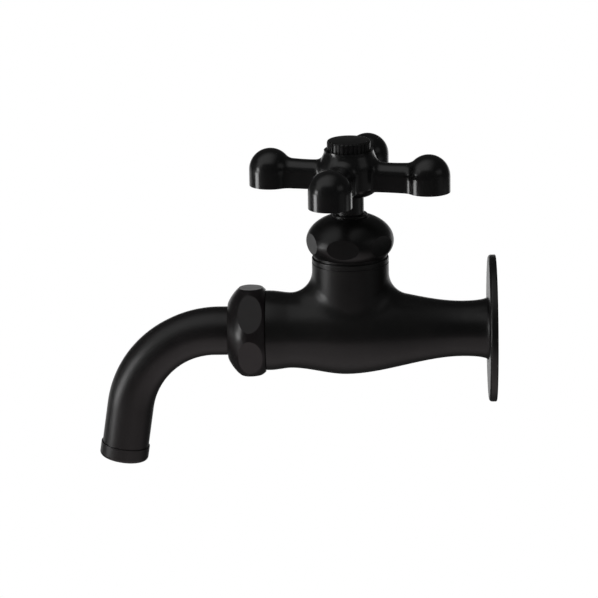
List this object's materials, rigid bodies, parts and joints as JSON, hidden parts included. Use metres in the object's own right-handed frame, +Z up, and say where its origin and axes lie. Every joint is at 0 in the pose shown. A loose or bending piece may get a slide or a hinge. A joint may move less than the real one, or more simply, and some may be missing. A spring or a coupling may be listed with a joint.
{
  "type": "garden tap",
  "caption": "Wall-mounted screw-down garden tap with a cross handle, an onion-shaped bonnet nut, a round wall flange and a bent spout that swivels.",
  "frame": {"origin": "centre of the wall flange's back face, on the axis of the inlet thread", "axes": "+X out of the inlet thread into the wall, +Z up along the spindle, so the spout points to -X and down"},
  "size_m": [0.1452, 0.0664, 0.1102],
  "materials": {
    "body_coat": "satin black coat",
    "nut_coat": "satin black coat",
    "handle_coat": "satin black coat",
    "screw_coat": "satin black coat",
    "stem_coat": "satin black coat",
    "tube_coat": "satin black coat",
    "brass": "turned brass",
    "rubber": "matt rubber",
    "grid_plastic": "moulded plastic"
  },
  "bodies": {
    "tap_body": {"valve_body": "body_coat", "wall_flange": "body_coat", "bonnet_washer": "nut_coat", "bonnet_nut": "nut_coat", "packing_seat": "brass", "spindle_packing": "rubber", "union_nut": "nut_coat", "u_packing": "rubber"},
    "jumper": {"jumper_disc": "brass", "jumper_washer": "rubber", "jumper_nut": "brass"},
    "handle": {"spindle": "stem_coat", "cross_handle": "handle_coat", "handle_screw": "screw_coat"},
    "spout": {"spout_pipe": "tube_coat", "retaining_ring": "brass", "spout_end_ring": "tube_coat", "flow_straightener": "grid_plastic", "straightener_washer": "rubber"}
  },
  "joints": [
    {"name": "valve_lift", "type": "slide", "parent": "tap_body", "child": "jumper", "axis": [0, 0, 1], "range_m": [0, 0.0038]},
    {"name": "handle_turn", "type": "hinge", "parent": "jumper", "child": "handle", "pos_m": [-0.04828, 0, 0.05], "axis": [0, 0, 1], "range_deg": [0, 540]},
    {"name": "spout_swivel", "type": "hinge", "parent": "tap_body", "child": "spout", "pos_m": [-0.0845, 0, 0], "axis": [1, 0, 0], "continuous": true}
  ],
  "couplings": [
    {"joint": "valve_lift", "follows": "handle_turn", "m_per_rad": 0.00039789}
  ]
}
